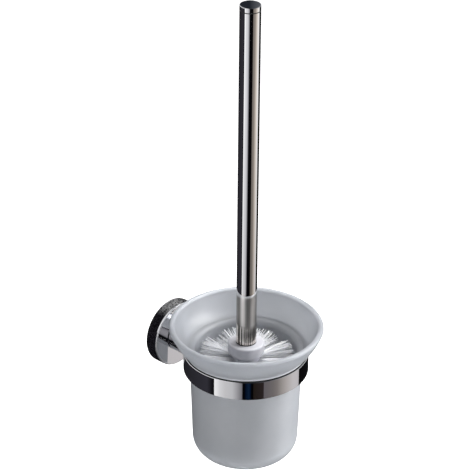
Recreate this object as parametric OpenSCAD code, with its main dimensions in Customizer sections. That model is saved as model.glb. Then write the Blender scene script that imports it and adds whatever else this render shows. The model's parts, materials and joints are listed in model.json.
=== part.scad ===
// Wall-mounted toilet brush set: a round rosette and post carry a metal ring,
// a frosted glass cup hangs in the ring, and a brush with a screwed-on tube handle stands in the cup.
// +Z is up and +Y points into the wall. The origin is the centre of the rosette's back face.

/* [Rosette] */
// Diameter of the knurled band, the widest part of the rosette
rosette_d = 54; // [48:1:64]
// How far the rosette's face stands off the wall
rosette_h = 11; // [10:0.5:16]
// Thickness of the polished face disc that closes the rosette
face_t = 1.6; // [1.2:0.1:2.2]
// How far the knurled band stands out past the face disc
face_set_back = 0.35; // [0.2:0.05:1]
// Width of the bevel round the face disc
face_bevel = 0.5; // [0.2:0.1:0.8]
// Wall of the knurled band at its peaks
band_wall = 2.2; // [1.6:0.1:3]
// Wall of the rosette's barrel under the band
barrel_wall = 2.6; // [2:0.1:3.5]
// Thickness of the web between the barrel's cavity and the post
web_t = 3; // [2.5:0.1:3.5]
// Number of knurl diamonds round the band
knurl_count = 90; // [48:1:96]
// Number of knurl diamonds across the band
knurl_rows = 5; // [3:1:6]
// Depth of the knurl
knurl_depth = 0.45; // [0.2:0.05:0.6]

/* [Wall plate] */
// Height of the wall plate's rim
plate_h = 6.4; // [5.5:0.1:7]
// Thickness of the wall plate's floor
plate_floor_t = 2.4; // [1.6:0.1:2.6]
// Wall of the wall plate's rim
plate_rim_t = 3.2; // [2.8:0.1:4]
// Depth of the groove that the set screw's point enters
plate_groove = 1.2; // [0.8:0.1:1.6]
// Distance between the two wall screw holes
wall_hole_pitch = 24; // [22:0.5:26]
// Diameter of the wall screw holes
wall_hole_d = 5; // [4:0.1:6]

/* [Post] */
// Diameter of the post
post_d = 26.4; // [20:0.1:30]
// Distance from the wall to the cup's axis
reach = 83; // [78:1:100]
// Bevel at the post's foot
post_bevel = 0.8; // [0.2:0.1:1]
// Diameter of the screw that holds the post
post_screw_d = 6; // [5:0.5:7]
// Depth of the post's threaded hole
post_thread_depth = 12; // [9:0.5:14]
// Diameter of the locating dowel
dowel_d = 3; // [2:0.5:4]
// Distance from the post's axis up to the dowel
dowel_offset = 9; // [8:0.5:9.5]

/* [Set screw] */
// Diameter of the set screw
set_screw_d = 4; // [3:0.5:4.5]
// Length of the set screw
set_screw_len = 6; // [5:0.5:7]
// Distance across the flats of the set screw's socket
set_socket = 2; // [1.5:0.1:2.2]

/* [Ring] */
// Outside diameter of the ring
ring_d = 98; // [92:1:106]
// Height of the ring
ring_h = 15.5; // [12:0.5:18]
// Wall of the ring
ring_wall = 2.5; // [1.5:0.1:3]
// Bevel on the ring's edges
ring_bevel = 0.3; // [0.2:0.1:0.6]
// How far the ring's top edge stands above the post
ring_over_post = 1.9; // [0.2:0.1:3]

/* [Gasket] */
// Thickness of the gasket's flange on the ring's top edge
gasket_t = 0.6; // [0.4:0.1:1.5]
// Wall of the gasket's skirt inside the ring
gasket_wall = 1.2; // [0.8:0.1:1.5]
// Depth of the gasket's skirt
gasket_skirt = 9; // [6:0.5:11]
// How far the gasket's flange stays back from the ring's outside
gasket_set_back = 0.4; // [0.4:0.1:2]

/* [Glass cup] */
// Height of the cup below the shoulder that rests on the gasket
cup_body_h = 92.3; // [85:0.1:110]
// Height of the flare above the shoulder
flare_h = 22.8; // [16:0.1:28]
// How far the rim stands out past the ring
rim_overhang = 11.2; // [7:0.1:18]
// How far the shoulder stays back from the ring's outside
shoulder_set_back = 0.8; // [0.6:0.1:1.5]
// Rounding of the shoulder's outer edge
shoulder_round = 1; // [0.5:0.1:1.2]
// Wall of the cup
glass_t = 4.6; // [3.5:0.1:5]
// Thickness of the rounded lip
lip_t = 4.8; // [3:0.1:5.4]
// Rounding where the flare's inside meets the wall
ledge_round = 2; // [1:0.1:2.5]
// Height of that rounded ledge above the shoulder
ledge_h = 2.9; // [2.5:0.1:4]
// Thickness of the cup's floor
floor_t = 5; // [4:0.5:7]
// How much the cup's radius narrows from the neck to the base
cup_taper = 2.6; // [0:0.1:4]
// Radius of the curve between wall and floor
base_round = 16; // [12:1:20]
// Height of the hollow pressed into the underside
punt_h = 1.6; // [0.5:0.1:2.5]
// Play between the cup's neck and the gasket
cup_play = 1; // [0.5:0.1:1.5]
// Roundness of the flare's outside, from a plain cone at 0 to a quarter ellipse at 1
flare_round_out = 0.25; // [0:0.05:0.4]
// Roundness of the flare's inside, from a plain cone at 0 to a quarter ellipse at 1
flare_round_in = 0.5; // [0.3:0.05:0.7]

/* [Handle] */
// Outside diameter of the handle's tube
handle_d = 16; // [14:0.5:20]
// Length of the handle's tube
tube_len = 279.7; // [240:0.1:320]
// Wall of the handle's tube
tube_wall = 0.8; // [0.6:0.1:1.2]
// Height of the end cap's head
cap_h = 4.8; // [3:0.1:8]
// Crown of the end cap
cap_crown = 0.4; // [0.1:0.1:1]
// Rounding of the end cap's edge
cap_round = 0.9; // [0.3:0.1:1.5]
// Length of the end cap's spigot
spigot_len = 8; // [5:0.5:12]
// Length of the threaded plug in the tube's lower end
plug_len = 22; // [18:1:30]
// Thickness of the rubber seal under the tube
seal_t = 1; // [0.8:0.1:2]

/* [Brush head] */
// Diameter of the hub that the handle screws down on
hub_d = 28.4; // [26:0.2:34]
// Height of the hub
hub_h = 9; // [6:0.5:12]
// Rounding of the hub's edges
hub_round = 1.4; // [0.5:0.1:2.5]
// Diameter of the core that holds the tufts
core_d = 22; // [20:0.5:24]
// Diameter of the threaded stud
stud_d = 8; // [6:0.5:9]
// Depth of the stud in the core
stud_depth = 18; // [14:1:24]
// Length of the stud above the hub
stud_out = 16; // [12:1:17]
// Number of straight tuft rows
tuft_rows = 7; // [5:1:7]
// Number of tufts in a row
tufts_per_row = 8; // [6:1:8]
// Distance between rows
row_pitch = 8.2; // [8:0.1:10]
// Distance from the hub down to the first row
first_row_drop = 6.8; // [5:0.1:9]
// Distance from the last straight row down to the level where the dome starts
last_row_drop = 5; // [4:0.5:8]
// Turn of the head about the handle, in degrees
head_turn = -5; // [-20:1:20]
// Diameter of a tuft at its root
tuft_root_d = 4.4; // [3:0.1:4.5]
// Diameter of a tuft's splayed tip
tuft_tip_d = 16; // [8:0.5:16]
// Diameter of the tip of a tuft on the dome
end_tip_d = 10; // [6:0.5:11]
// Height from the cup's floor to the bottom of the core
end_reach = 13.3; // [9:0.1:14]
// Depth of a tuft's hole
tuft_seat = 4; // [3:0.5:5]
// Gap between the tips and the cup's wall
tip_gap = 2; // [1.5:0.1:4]

/* [Fits] */
// Clearance between pieces that slide or press together
fit = 0.05; // [0.03:0.01:0.1]
// Gap under the brush where it stands on the cup's floor
stand_gap = 0.3; // [0.2:0.05:0.4]

/* [Hidden] */

chrome = "silver";
steel = "slategray";
white_plastic = "white";

// rosette, measured from the wall
face_r = rosette_d / 2 - face_set_back;
barrel_r = rosette_d / 2 - band_wall;
cavity_r = barrel_r - barrel_wall;
cavity_h = rosette_h - web_t;
band_h = rosette_h - face_t - fit;
plate_r = cavity_r - 0.3;
set_screw_y = plate_h / 2 + 1;
point_slope = 1.4;
// the groove's sides and the set screw's point have one slope
groove_half = plate_groove * point_slope;
set_point_h = set_screw_d / 2 / point_slope;

// post screw, in from the cavity
screw_head_d = post_screw_d * 1.75;
screw_head_h = post_screw_d * 0.55;
washer_t = 1;
screw_in = post_thread_depth - 1.5;
dowel_len = 8;
dowel_in_post = dowel_len - web_t + 0.5;

// ring and cup heights, measured from the post's axis
ring_r = ring_d / 2;
ring_top = post_d / 2 + ring_over_post;
ring_bore_r = ring_r - ring_wall;
gasket_bore_r = ring_bore_r - gasket_wall;
shoulder_z = ring_top + gasket_t;
base_z = shoulder_z - cup_body_h;
floor_z = base_z + floor_t;
rim_z = shoulder_z + flare_h;
neck_r = gasket_bore_r - cup_play;
base_r = neck_r - cup_taper;
shoulder_r = ring_r - shoulder_set_back;
// where the shoulder's rounded edge meets the flare
shoulder_edge_r = shoulder_r - shoulder_round * (1 - cos(45));
shoulder_edge_z = shoulder_z + shoulder_round * (1 - sin(45));
rim_r = ring_r + rim_overhang;
// the fillet under the shoulder stays clear of the gasket's edge
neck_round = cup_play - 0.2;
lip_r = lip_t / 2;
inner_round = base_round - glass_t;
// the inside of the wall starts and ends its taper level with the two curves
wall_low_z = base_z + base_round;
ledge_z = shoulder_z + ledge_h;
// the hollow in the underside ends where the curve to the wall starts
foot_r = base_r - base_round - 2;
punt_r = (foot_r ^ 2 + punt_h ^ 2) / (2 * punt_h);
punt_angle = asin(foot_r / punt_r);

// brush heights
dome_r = core_d / 2;
dome_drop = dome_r + end_reach;
dome_z = floor_z + stand_gap + dome_drop;
first_row_z = dome_z + last_row_drop + (tuft_rows - 1) * row_pitch;
hub_low = first_row_z + first_row_drop;
hub_top = hub_low + hub_h;
tube_low = hub_top + seal_t;
tube_top = tube_low + tube_len;
tube_r = handle_d / 2;
bore_r = tube_r - tube_wall;
root_r = tuft_root_d / 2;
tip_r = tuft_tip_d / 2;
end_tip_r = end_tip_d / 2;

neck_in_r = neck_r - glass_t;

// inside radius of the cup's straight wall at a height
function wall_in_r(z) =
    let (share = (z - wall_low_z) / (shoulder_z - wall_low_z))
    base_r - glass_t + cup_taper * min(1, max(0, share));

// points along a circular arc
function arc(centre, r, from, to, steps = 8) =
    [for (k = [0:steps]) let (a = from + (to - from) * k / steps) centre + r * [cos(a), sin(a)]];

// points along a flare from one point to another; roundness blends a cone into a quarter ellipse
function flare(low, high, roundness, steps = 10) =
    [for (k = [0:steps]) let (t = k / steps, a = 90 * t) [
        low.x + (high.x - low.x) * ((1 - roundness) * t + roundness * sin(a)),
        low.y + (high.y - low.y) * ((1 - roundness) * t + roundness * (1 - cos(a)))]];

// turns a child that is built up from z = 0 so that it stands out from the wall
module from_wall() rotate([90, 0, 0]) children();

module at_cup() translate([0, -reach, 0]) children();

module lathe(points, sides = 96) rotate_extrude($fn = sides) polygon(points);

module wall_plate() color(steel) from_wall() difference() {
    lathe([
        [0, 0], [plate_r, 0],
        [plate_r, set_screw_y - groove_half], [plate_r - plate_groove, set_screw_y],
        [plate_r, set_screw_y + groove_half], [plate_r, plate_h],
        [plate_r - plate_rim_t, plate_h], [plate_r - plate_rim_t, plate_floor_t], [0, plate_floor_t]]);
    for (side = [-1, 1])
        translate([0, side * wall_hole_pitch / 2, -1])
            cylinder(h = plate_floor_t + 2, d = wall_hole_d, $fn = 48);
}

module rosette() color(chrome) from_wall() difference() {
    lathe([
        [cavity_r, 0], [barrel_r, 0], [barrel_r, rosette_h - face_t], [face_r, rosette_h - face_t],
        [face_r, rosette_h - face_bevel], [face_r - face_bevel, rosette_h],
        [0, rosette_h], [0, cavity_h], [cavity_r, cavity_h]]);
    translate([0, 0, cavity_h - 1]) cylinder(h = web_t + 2, d = post_screw_d + 2 * fit, $fn = 48);
    translate([0, dowel_offset, cavity_h - 1]) cylinder(h = web_t + 2, d = dowel_d + 2 * fit, $fn = 48);
    set_screw_hole(cavity_r - 1);
}

// radial hole at the foot of the rosette, from a radius outwards
module set_screw_hole(from_r)
    translate([0, -from_r, set_screw_y]) rotate([90, 0, 0])
        cylinder(h = rosette_d, d = set_screw_d + 2 * fit, $fn = 48);

// diamond knurl: rings of points that stand up and down in turn, split along the low diagonals
module knurl(r, h, count, rows, depth) {
    around = 2 * count;
    up = 2 * rows;
    function is_peak(i, j) = (i + j) % 2 == 0;
    function edge(j) = j == 0 || j == up;
    points = [for (j = [0:up], i = [0:around - 1])
        let (rr = edge(j) ? r - depth : is_peak(i, j) ? r : r - depth, a = 360 * i / around)
        [rr * cos(a), rr * sin(a), h * j / up]];
    function at(i, j) = j * around + i % around;
    sides = [for (j = [0:up - 1], i = [0:around - 1])
        let (a = at(i, j), b = at(i + 1, j), c = at(i + 1, j + 1), d = at(i, j + 1))
        each is_peak(i, j) ? [[a, d, b], [d, c, b]] : [[a, d, c], [a, c, b]]];
    foot = [for (i = [0:around - 1]) i];
    head = [for (i = [around - 1:-1:0]) at(i, up)];
    polyhedron(points, concat(sides, [foot, head]));
}

module knurled_band() color("dimgray") from_wall() difference() {
    knurl(rosette_d / 2, band_h, knurl_count, knurl_rows, knurl_depth);
    translate([0, 0, -1]) cylinder(h = band_h + 2, r = barrel_r + fit, $fn = 96);
    set_screw_hole(cavity_r - 1);
}

// cone-point set screw: it stands in the rosette's foot with its point in the plate's groove
module set_screw() color(steel) from_wall()
    translate([0, -(plate_r - plate_groove + fit), set_screw_y]) rotate([90, 0, 0]) difference() {
        lathe([[0, 0], [set_screw_d / 2, set_point_h], [set_screw_d / 2, set_screw_len], [0, set_screw_len]], 48);
        translate([0, 0, set_screw_len - 2]) cylinder(h = 3, d = set_socket / cos(30), $fn = 6);
    }

module post() color(chrome) from_wall() difference() {
    lathe([
        [0, rosette_h], [post_d / 2 - post_bevel, rosette_h], [post_d / 2, rosette_h + post_bevel],
        [post_d / 2, reach - ring_r / 2], [0, reach - ring_r / 2]]);
    // the far end is coped to the ring
    translate([0, 0, reach]) rotate([90, 0, 0])
        cylinder(h = 2 * post_d, r = ring_r + fit, center = true, $fn = 96);
    translate([0, 0, rosette_h - 1]) cylinder(h = post_thread_depth + 1, d = post_screw_d + 2 * fit, $fn = 48);
    translate([0, dowel_offset, rosette_h - 1]) cylinder(h = dowel_in_post + 1, d = dowel_d + 2 * fit, $fn = 48);
}

module post_screw() color(steel) from_wall() difference() {
    translate([0, 0, cavity_h - washer_t - screw_head_h]) union() {
        cylinder(h = screw_head_h, d = screw_head_d, $fn = 48);
        cylinder(h = screw_head_h + washer_t + web_t + screw_in, d = post_screw_d, $fn = 48);
    }
    translate([0, 0, cavity_h - washer_t - screw_head_h - 1])
        cylinder(h = 1 + screw_head_h * 0.6, d = post_screw_d * 0.67 / cos(30), $fn = 6);
}

module post_washer() color(steel) from_wall() translate([0, 0, cavity_h - washer_t]) difference() {
    cylinder(h = washer_t, d = screw_head_d + 1.5, $fn = 48);
    translate([0, 0, -1]) cylinder(h = washer_t + 2, d = post_screw_d + 2 * fit, $fn = 48);
}

module post_dowel() color(steel) from_wall()
    translate([0, dowel_offset, rosette_h + dowel_in_post - dowel_len - 0.2])
        cylinder(h = dowel_len, d = dowel_d, $fn = 48);

module ring() color(chrome) at_cup() translate([0, 0, ring_top - ring_h]) lathe([
    [ring_bore_r, ring_bevel], [ring_bore_r + ring_bevel, 0],
    [ring_r - ring_bevel, 0], [ring_r, ring_bevel],
    [ring_r, ring_h - ring_bevel], [ring_r - ring_bevel, ring_h],
    [ring_bore_r + ring_bevel, ring_h], [ring_bore_r, ring_h - ring_bevel]], 128);

// L-shaped: a flange on the ring's top edge and a skirt inside it
module gasket() color("black") at_cup() lathe([
    [gasket_bore_r, ring_top - gasket_skirt], [ring_bore_r - fit, ring_top - gasket_skirt],
    [ring_bore_r - fit, ring_top], [ring_r - gasket_set_back, ring_top],
    [ring_r - gasket_set_back, shoulder_z], [gasket_bore_r, shoulder_z]], 128);

module glass_cup() color("lightsteelblue", 0.6) at_cup() lathe(concat(
    arc([0, base_z + punt_h - punt_r], punt_r, 90, 90 - punt_angle, 6),
    arc([base_r - base_round, base_z + base_round], base_round, -90, 0),
    arc([neck_r + neck_round, shoulder_z - neck_round], neck_round, 180, 90, 4),
    arc([shoulder_r - shoulder_round, shoulder_z + shoulder_round], shoulder_round, -90, -45, 3),
    flare([shoulder_edge_r, shoulder_edge_z], [rim_r, rim_z - lip_r], flare_round_out),
    arc([rim_r - lip_r, rim_z - lip_r], lip_r, 15, 165),
    reverse(flare([neck_in_r + ledge_round, ledge_z], [rim_r - lip_t, rim_z - lip_r], flare_round_in)),
    arc([neck_in_r + ledge_round, ledge_z - ledge_round], ledge_round, 90, 180, 4),
    [[wall_in_r(wall_low_z), wall_low_z]],
    arc([wall_in_r(wall_low_z) - inner_round, floor_z + inner_round], inner_round, 0, -90),
    [[0, floor_z]]), 128);

function reverse(list) = [for (k = [len(list) - 1:-1:0]) list[k]];

module handle_tube() color(chrome) at_cup() translate([0, 0, tube_low]) difference() {
    cylinder(h = tube_len, r = tube_r, $fn = 96);
    translate([0, 0, -1]) cylinder(h = tube_len + 2, r = bore_r, $fn = 96);
}

module handle_cap() color(chrome) at_cup() translate([0, 0, tube_top]) lathe(concat(
    [[0, -spigot_len], [bore_r - fit - 0.5, -spigot_len], [bore_r - fit, -spigot_len + 0.5], [bore_r - fit, 0],
     [tube_r - 0.25, 0], [tube_r - 0.25, 0.3], [tube_r, 0.5]],
    arc([tube_r - cap_round, cap_h - cap_crown - cap_round], cap_round, 0, 80, 5),
    [[tube_r * 0.5, cap_h - cap_crown * 0.25], [0, cap_h]]), 96);

module handle_plug() color(steel) at_cup() translate([0, 0, tube_low]) difference() {
    cylinder(h = plug_len, r = bore_r - fit, $fn = 96);
    translate([0, 0, -1]) cylinder(h = stud_out - seal_t + 2, d = stud_d + 2 * fit, $fn = 48);
}

module handle_seal() color("black") at_cup() translate([0, 0, hub_top]) difference() {
    cylinder(h = seal_t, r = tube_r, $fn = 96);
    translate([0, 0, -1]) cylinder(h = seal_t + 2, d = stud_d + 1, $fn = 48);
}

// one moulded piece: the hub, the core below it and the dome at its end, with a hole for each tuft
module head_core() color(white_plastic) at_cup() difference() {
    lathe(concat(
        arc([0, dome_z], dome_r, -90, 0, 12),
        [[core_d / 2, hub_low]],
        arc([hub_d / 2 - hub_round, hub_low + hub_round], hub_round, -90, 0, 5),
        arc([hub_d / 2 - hub_round, hub_top - hub_round], hub_round, 0, 90, 5),
        [[0, hub_top]]));
    translate([0, 0, hub_top - stud_depth]) cylinder(h = stud_depth + 1, d = stud_d + 2 * fit, $fn = 48);
    for (k = [1:tuft_rows]) row_of_holes(k);
    dome_places(side_ring) tuft_hole();
    dome_places(foot_ring) tuft_hole();
}

module head_stud() color(steel) at_cup() translate([0, 0, hub_top - stud_depth])
    cylinder(h = stud_depth + stud_out, d = stud_d, $fn = 48);

function row_z(k) = first_row_z - (k - 1) * row_pitch;

// puts a child, built up from z = 0 at the core's surface, at each place of a straight row
module row_places(k)
    for (n = [0:tufts_per_row - 1])
        rotate([0, 0, head_turn + 360 * (n + (k % 2) / 2) / tufts_per_row])
            translate([core_d / 2, 0, row_z(k)]) rotate([0, 90, 0]) children();

// two rings of tufts on the dome: how many, and how far they point below the level
side_ring = [8, 20];
foot_ring = [4, 60];
// side tufts end short of the cup's wall, and foot tufts end at the level where the brush stands
side_len = (wall_in_r(dome_z) - tip_gap - end_tip_r * sin(side_ring[1])) / cos(side_ring[1]) - dome_r;
foot_len = (dome_drop - end_tip_r * cos(foot_ring[1])) / sin(foot_ring[1]) - dome_r;

// puts a child, built up from z = 0 at the dome's surface, at each place of a ring
module dome_places(ring)
    for (n = [0:ring[0] - 1])
        translate([0, 0, dome_z]) rotate([0, 0, head_turn + 360 * (n + 0.5) / ring[0]])
            rotate([0, 90 + ring[1], 0]) translate([0, 0, dome_r]) children();

module tuft_hole() translate([0, 0, -tuft_seat]) cylinder(h = tuft_seat + 2, r = root_r + fit, $fn = 24);

module row_of_holes(k) row_places(k) tuft_hole();

// a tuft is held by its root in the core and splays towards its tip
module tuft(length, end_r) union() {
    translate([0, 0, fit - tuft_seat]) cylinder(h = tuft_seat - fit + 0.01, r = root_r, $fn = 24);
    cylinder(h = length, r1 = root_r, r2 = end_r, $fn = 24);
}

module tufts_row(k) color(white_plastic) at_cup()
    row_places(k) tuft(wall_in_r(row_z(k)) - tip_gap - core_d / 2, tip_r);

module tufts_end() color(white_plastic) at_cup() {
    dome_places(side_ring) tuft(side_len, end_tip_r);
    dome_places(foot_ring) tuft(foot_len, end_tip_r);
}

wall_plate();
rosette();
knurled_band();
set_screw();
post();
post_screw();
post_washer();
post_dowel();
ring();
gasket();
glass_cup();
handle_tube();
handle_cap();
handle_plug();
handle_seal();
head_core();
head_stud();
tufts_end();
for (k = [1:tuft_rows]) tufts_row(k);
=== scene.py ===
"""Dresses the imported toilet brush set: etched glass, bristles, mirror chrome and a small studio."""

import json
import logging
import math
from dataclasses import dataclass, field
from enum import Enum
from typing import Any

import bpy
import numpy as np
from mathutils import Matrix, Vector


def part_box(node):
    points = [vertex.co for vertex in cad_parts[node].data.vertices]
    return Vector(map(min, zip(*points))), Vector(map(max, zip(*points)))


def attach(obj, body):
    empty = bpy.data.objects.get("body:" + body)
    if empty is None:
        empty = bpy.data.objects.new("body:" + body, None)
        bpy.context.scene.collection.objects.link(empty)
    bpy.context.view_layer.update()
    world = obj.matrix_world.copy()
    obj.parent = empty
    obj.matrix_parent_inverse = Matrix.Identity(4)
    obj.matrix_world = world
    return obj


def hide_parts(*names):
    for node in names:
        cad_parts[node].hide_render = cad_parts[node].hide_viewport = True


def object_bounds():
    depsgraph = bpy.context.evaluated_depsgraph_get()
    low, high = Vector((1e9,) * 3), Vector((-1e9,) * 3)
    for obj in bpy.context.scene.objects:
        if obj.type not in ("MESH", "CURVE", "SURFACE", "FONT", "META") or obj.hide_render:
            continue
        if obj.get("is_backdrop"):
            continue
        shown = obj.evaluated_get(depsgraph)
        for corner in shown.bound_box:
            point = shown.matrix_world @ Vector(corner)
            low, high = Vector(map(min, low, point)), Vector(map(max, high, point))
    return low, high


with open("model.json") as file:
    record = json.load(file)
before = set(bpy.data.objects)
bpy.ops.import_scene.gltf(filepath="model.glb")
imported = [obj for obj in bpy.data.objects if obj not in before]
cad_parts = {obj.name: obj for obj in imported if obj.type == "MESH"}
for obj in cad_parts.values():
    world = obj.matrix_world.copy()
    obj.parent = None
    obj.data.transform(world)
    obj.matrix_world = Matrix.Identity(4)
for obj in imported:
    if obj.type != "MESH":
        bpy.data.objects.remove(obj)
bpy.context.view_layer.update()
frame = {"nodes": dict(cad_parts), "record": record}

MM = 0.001
TURN = 2.0 * math.pi
# A revolved piece's axis stands upright, or lies level and points out of the wall.
UPRIGHT = np.eye(3)
OUT_OF_WALL = np.array([[1.0, 0.0, 0.0], [0.0, 0.0, -1.0], [0.0, 1.0, 0.0]])
# A noise has nearly all its values between these two.
NOISE_LOW, NOISE_HIGH = 0.3, 0.7
# A profile's point nearer to the axis than this, in metres, is a pole.
POLE = 1e-9
# How many stretches a card has from its first bearing to its last.
CARD_STEPS = 48
log = logging.getLogger("brush_set")

Profile = np.ndarray
Stops = tuple[tuple[float, str], ...]
Tree = bpy.types.NodeTree
Piece = bpy.types.Object


class Body(str, Enum):
    """The bodies that pieces ride on."""

    HOLDER = "holder"
    CUP = "cup"
    BRUSH = "brush"


class Ease(str, Enum):
    """The ways in which a value can change between two heights."""

    EVEN = "LINEAR"
    SOFT = "SMOOTHSTEP"


# --- small helpers ---


def linear(colour: str) -> tuple[float, float, float, float]:
    """Turn an sRGB colour into a linear one.

    Args:
        colour: The colour as "#RRGGBB".

    Returns:
        Linear red, green and blue from 0 to 1, and an alpha of 1.
    """
    parts = np.array([int(colour[k:k + 2], 16) for k in (1, 3, 5)]) / 255.0
    levels = np.where(parts <= 0.04045, parts / 12.92, ((parts + 0.055) / 1.055) ** 2.4)
    return (*levels.tolist(), 1.0)


def add_node(tree: Tree, kind: str, settings: dict[Any, Any] | None = None,
             links: dict[Any, Any] | None = None) -> bpy.types.Node:
    """Add one shader node with its settings and links.

    Args:
        tree: The node tree that gets the node.
        kind: The node's type, such as "ShaderNodeTexNoise".
        settings: Values by attribute name, or by the name or number of an input socket.
        links: Output sockets by the name or number of the input socket that they feed.

    Returns:
        The new node.
    """
    node = tree.nodes.new(kind)
    for key, value in (settings or {}).items():
        if isinstance(key, str) and hasattr(node, key):
            setattr(node, key, value)
        else:
            node.inputs[key].default_value = value
    for key, socket in (links or {}).items():
        tree.links.new(socket, node.inputs[key])
    return node


def bands(tree: Tree, socket: Any, stops: Stops) -> Any:
    """Colour a value by stops, each a pair of its place from 0 to 1 and its colour.

    Args:
        tree: The node tree that gets the colours.
        socket: The socket that carries the value.
        stops: Two stops or more, in growing order.

    Returns:
        The socket that carries the colour.
    """
    ramp = add_node(tree, "ShaderNodeValToRGB", {}, {"Fac": socket})
    made = ramp.color_ramp.elements
    made[0].position, made[1].position = stops[0][0], stops[-1][0]
    for at, colour in stops[1:-1]:
        made.new(at).color = linear(colour)
    made[0].color, made[-1].color = linear(stops[0][1]), linear(stops[-1][1])
    return ramp.outputs["Color"]


def by_height(tree: Tree, low: float, high: float, start: float = 0.0, end: float = 1.0,
              ease: Ease = Ease.EVEN) -> Any:
    """Change a value with the height, from start at the lower height to end at the upper one.

    Args:
        tree: The node tree that gets the change.
        low: The lower height in metres.
        high: The upper height.
        start: The value at and below the lower height.
        end: The value at and above the upper height.
        ease: How the value changes in between.

    Returns:
        The socket that carries the value.
    """
    place = add_node(tree, "ShaderNodeTexCoord")
    height = add_node(tree, "ShaderNodeSeparateXYZ", {}, {0: place.outputs["Object"]})
    return add_node(tree, "ShaderNodeMapRange",
                    {"interpolation_type": ease.value, "From Min": low, "From Max": high,
                     "To Min": start, "To Max": end},
                    {"Value": height.outputs["Z"]}).outputs["Result"]


def bare_material(name: str) -> tuple[bpy.types.Material, Tree]:
    """Make a material whose node tree holds nothing but its output.

    Args:
        name: The material's name.

    Returns:
        The material and its node tree.
    """
    made = bpy.data.materials.new(name)
    made.use_nodes = True
    made.node_tree.nodes.remove(made.node_tree.nodes["Principled BSDF"])
    return made, made.node_tree


def arc(centre: tuple[float, float], radius: float, start: float, end: float,
        steps: int = 12) -> Profile:
    """Walk along a circle: centre plus radius times (cos, sin) of evenly spaced angles.

    Args:
        centre: The circle's centre, as (radius from the axis, height).
        radius: The circle's radius.
        start: The first angle in degrees.
        end: The last angle.
        steps: How many stretches the arc has.

    Returns:
        An array of (radius, height) rows.
    """
    angle = np.radians(np.linspace(start, end, steps + 1))
    return np.array(centre) + radius * np.stack([np.cos(angle), np.sin(angle)], axis=1)


def flare(low: tuple[float, float], high: tuple[float, float], roundness: float,
          steps: int = 28) -> Profile:
    """Walk along a flare, the blend of a straight cone and a quarter ellipse between two points.

    Args:
        low: The lower end, as (radius, height).
        high: The upper end.
        roundness: 0 for the cone and 1 for the quarter ellipse.
        steps: How many stretches the flare has.

    Returns:
        An array of (radius, height) rows.
    """
    share = np.linspace(0.0, 1.0, steps + 1)
    angle = share * math.pi / 2.0
    out = (1.0 - roundness) * share + roundness * np.sin(angle)
    up = (1.0 - roundness) * share + roundness * (1.0 - np.cos(angle))
    return np.stack([low[0] + (high[0] - low[0]) * out, low[1] + (high[1] - low[1]) * up], axis=1)


def mesh_piece(name: str, points: np.ndarray, faces: list[list[int]],
               uvs: np.ndarray | None = None) -> Piece:
    """Put worked-out points and smooth faces into a mesh object at the origin.

    Args:
        name: The piece's name.
        points: An array of (x, y, z) rows in metres.
        faces: Lists of point numbers, counter-clockwise from outside.
        uvs: One (u, v) row per point, or None.

    Returns:
        The new object.
    """
    mesh = bpy.data.meshes.new(name)
    mesh.from_pydata(points.tolist(), [], faces)
    mesh.polygons.foreach_set("use_smooth", [True] * len(mesh.polygons))
    if uvs is not None:
        corner = np.zeros(len(mesh.loops), dtype=np.int32)
        mesh.loops.foreach_get("vertex_index", corner)
        layer = mesh.uv_layers.new(name="surface")
        layer.data.foreach_set("uv", uvs[corner].astype(np.float32).ravel())
    mesh.update()
    piece = bpy.data.objects.new(name, mesh)
    bpy.context.scene.collection.objects.link(piece)
    return piece


def revolve(name: str, profile: Profile, axis: tuple[float, float], around: int = 192,
            lay: np.ndarray = UPRIGHT) -> Piece:
    """Turn a profile about a vertical axis: x = r cos a, y = r sin a, z = height.

    The profile runs up the outside, so that faces point outwards. A point on the axis becomes
    one vertex that closes the pole, and a profile that ends off the axis joins back to its start.
    The surface's v is the length walked along the profile, in metres.

    Args:
        name: The piece's name.
        profile: (radius, height) rows in metres.
        axis: Where the axis stands, as (x, y).
        around: How many faces go round.
        lay: The turn that lays the axis in another direction.

    Returns:
        The new object.
    """
    on_axis = profile[:, 0] < POLE
    counts = np.where(on_axis, 1, around)
    first = np.concatenate([[0], np.cumsum(counts)[:-1]])
    angle = np.arange(around) * TURN / around
    rings = [np.array([[0.0, 0.0, z]]) if pole else
             np.stack([r * np.cos(angle), r * np.sin(angle), np.full(around, z)], axis=1)
             for (r, z), pole in zip(profile, on_axis)]
    length = np.concatenate([[0.0], np.cumsum(np.hypot(*np.diff(profile, axis=0).T))])
    uvs = np.concatenate([
        np.stack([np.full(n, 0.0) if n == 1 else angle / TURN, np.full(n, v)], axis=1)
        for n, v in zip(counts, length)])
    here = np.arange(around)
    after = (here + 1) % around
    faces: list[list[int]] = []
    rows = list(zip(range(len(profile) - 1), range(1, len(profile))))
    if not on_axis[0] and not on_axis[-1]:
        rows.append((len(profile) - 1, 0))
    for low, high in rows:
        a, b = first[low], first[high]
        if on_axis[low]:
            strip = np.stack([np.full(around, a), b + after, b + here], axis=1)
        elif on_axis[high]:
            strip = np.stack([a + here, a + after, np.full(around, b)], axis=1)
        else:
            strip = np.stack([a + here, a + after, b + after, b + here], axis=1)
        faces += strip.tolist()
    points = np.concatenate(rings) @ lay.T + np.array([axis[0], axis[1], 0.0])
    return mesh_piece(name, points, faces, uvs)


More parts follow.
